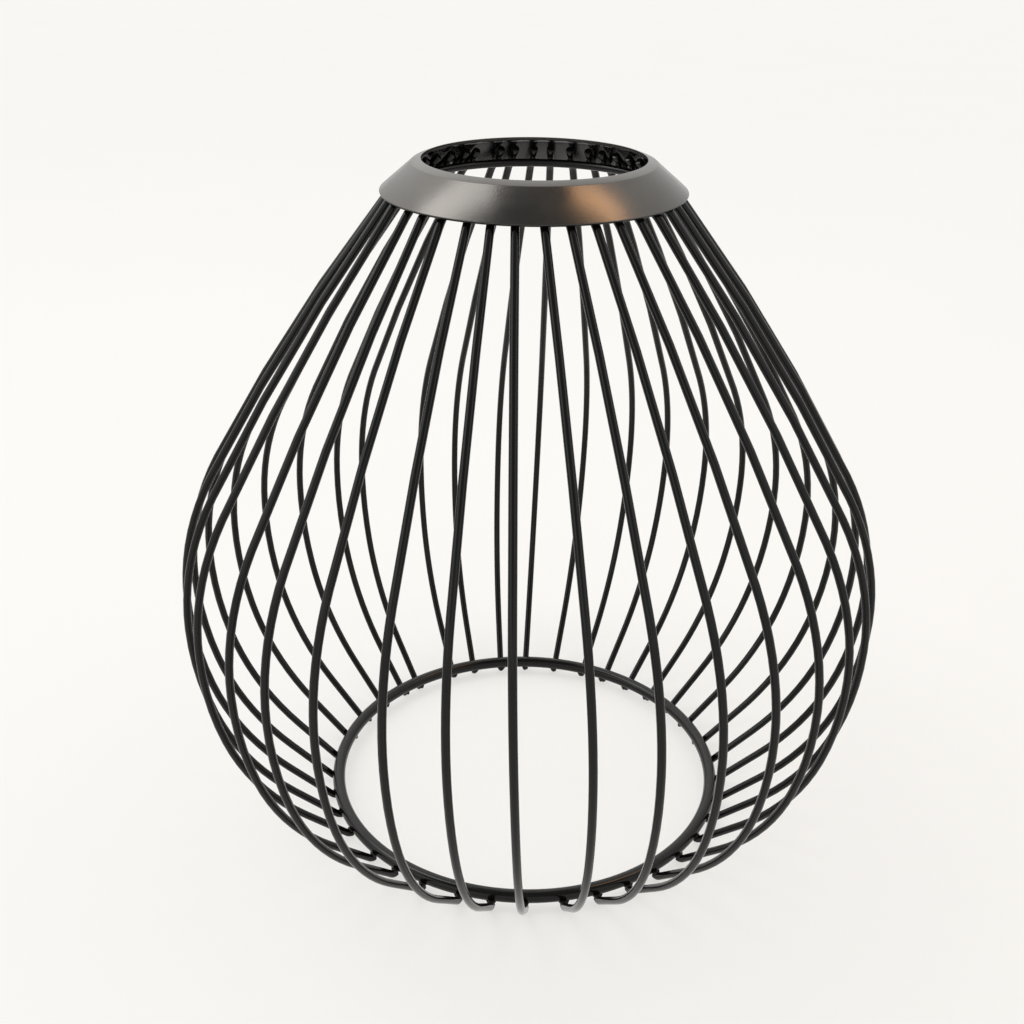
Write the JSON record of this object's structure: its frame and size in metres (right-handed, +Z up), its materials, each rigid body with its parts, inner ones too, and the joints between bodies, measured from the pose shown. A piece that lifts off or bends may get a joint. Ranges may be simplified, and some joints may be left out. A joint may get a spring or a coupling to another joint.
{
  "type": "wire lampshade",
  "caption": "Pear-shaped open wire lampshade: bent vertical rods between a bottom ring and a conical top collar with a round opening.",
  "frame": {"origin": "on the shade's axis at floor level, under the feet of the ribs", "axes": "+Z up along the shade's axis towards the collar; -Y is the side that faces the viewer in the picture; +X to the viewer's right"},
  "size_m": [0.2507, 0.2511, 0.246],
  "materials": {
    "collar_paint": "satin gunmetal paint",
    "wire_coating": "satin black powder coat"
  },
  "bodies": {
    "root": {"collar": "collar_paint", "top_ring": "wire_coating", "bottom_ring": "wire_coating", "rib_01": "wire_coating", "rib_02": "wire_coating", "rib_03": "wire_coating", "rib_04": "wire_coating", "rib_05": "wire_coating", "rib_06": "wire_coating", "rib_07": "wire_coating", "rib_08": "wire_coating", "rib_09": "wire_coating", "rib_10": "wire_coating", "rib_11": "wire_coating", "rib_12": "wire_coating", "rib_13": "wire_coating", "rib_14": "wire_coating", "rib_15": "wire_coating", "rib_16": "wire_coating", "rib_17": "wire_coating", "rib_18": "wire_coating", "rib_19": "wire_coating", "rib_20": "wire_coating", "rib_21": "wire_coating", "rib_22": "wire_coating", "rib_23": "wire_coating", "rib_24": "wire_coating", "rib_25": "wire_coating", "rib_26": "wire_coating", "rib_27": "wire_coating", "rib_28": "wire_coating", "rib_29": "wire_coating", "rib_30": "wire_coating", "rib_31": "wire_coating", "rib_32": "wire_coating", "rib_33": "wire_coating", "rib_34": "wire_coating", "rib_35": "wire_coating", "rib_36": "wire_coating", "rib_37": "wire_coating", "rib_38": "wire_coating"}
  },
  "joints": []
}
